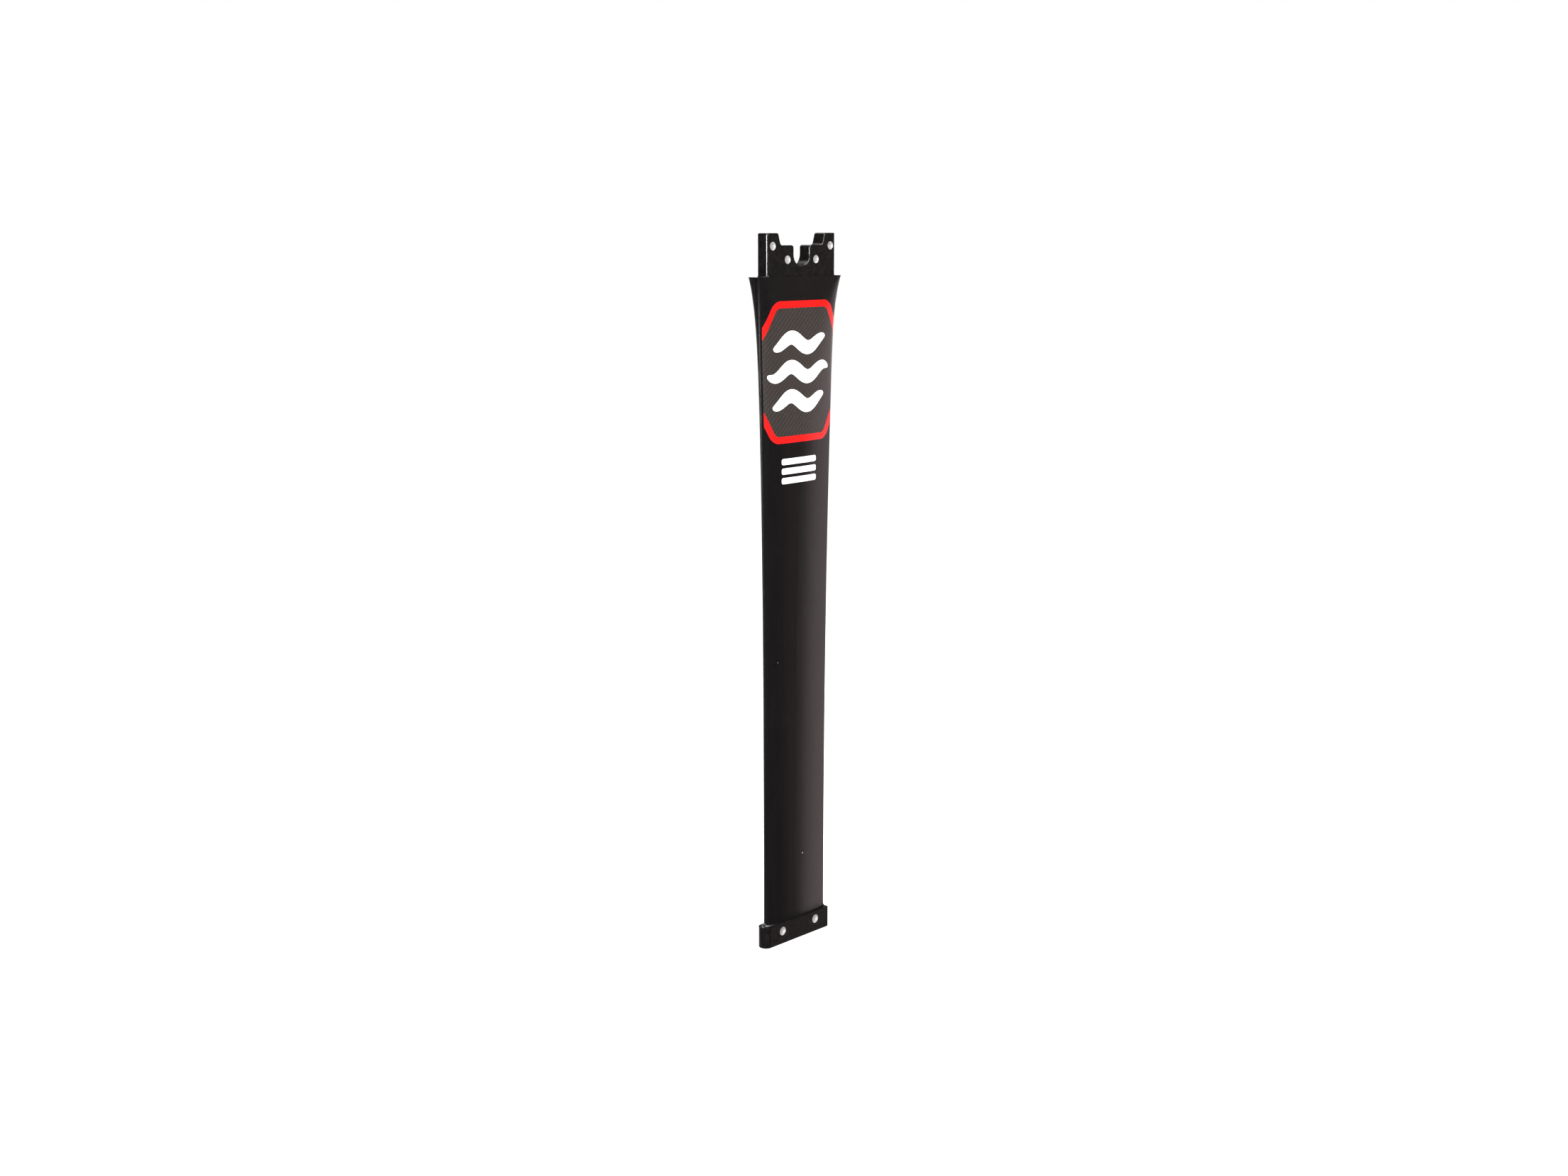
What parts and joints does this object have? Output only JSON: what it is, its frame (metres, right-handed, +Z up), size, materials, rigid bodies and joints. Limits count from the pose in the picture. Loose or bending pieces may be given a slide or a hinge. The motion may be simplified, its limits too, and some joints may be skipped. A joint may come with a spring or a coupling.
{
  "type": "hydrofoil mast",
  "caption": "Moulded carbon hydrofoil mast with a notched tongue for the board mount at its head and a block for the fuselage at its foot.",
  "frame": {"origin": "on the bottom face of the foot block, straight below the middle of the head tongue", "axes": "+Z up along the mast to the board, +X forward to the leading edge, +Y to port"},
  "size_m": [0.1409, 0.019, 0.83],
  "materials": {
    "skin_carbon": "moulded carbon laminate, satin clear coat",
    "spar_carbon": "unidirectional carbon laminate, uncoated",
    "block_carbon": "solid moulded chopped carbon, satin",
    "core_foam": "closed-cell structural foam",
    "edge_filler": "epoxy and carbon tow",
    "sleeve_steel": "turned stainless steel, bright",
    "print_red": "printed film under the clear coat",
    "print_white": "printed film under the clear coat",
    "panel_weave": "bare woven carbon under the clear coat"
  },
  "bodies": {
    "root": {"port_skin": "skin_carbon", "starboard_skin": "skin_carbon", "port_spar_cap": "spar_carbon", "starboard_spar_cap": "spar_carbon", "front_shear_web": "spar_carbon", "rear_shear_web": "spar_carbon", "leading_edge_filler": "edge_filler", "trailing_edge_filler": "edge_filler", "nose_core": "core_foam", "centre_core": "core_foam", "tail_core": "core_foam", "head_block": "block_carbon", "front_shoulder_insert": "block_carbon", "rear_shoulder_insert": "block_carbon", "foot_block": "block_carbon", "front_upper_head_sleeve": "sleeve_steel", "front_lower_head_sleeve": "sleeve_steel", "front_foot_sleeve": "sleeve_steel", "rear_upper_head_sleeve": "sleeve_steel", "rear_lower_head_sleeve": "sleeve_steel", "rear_foot_sleeve": "sleeve_steel"}
  },
  "joints": []
}
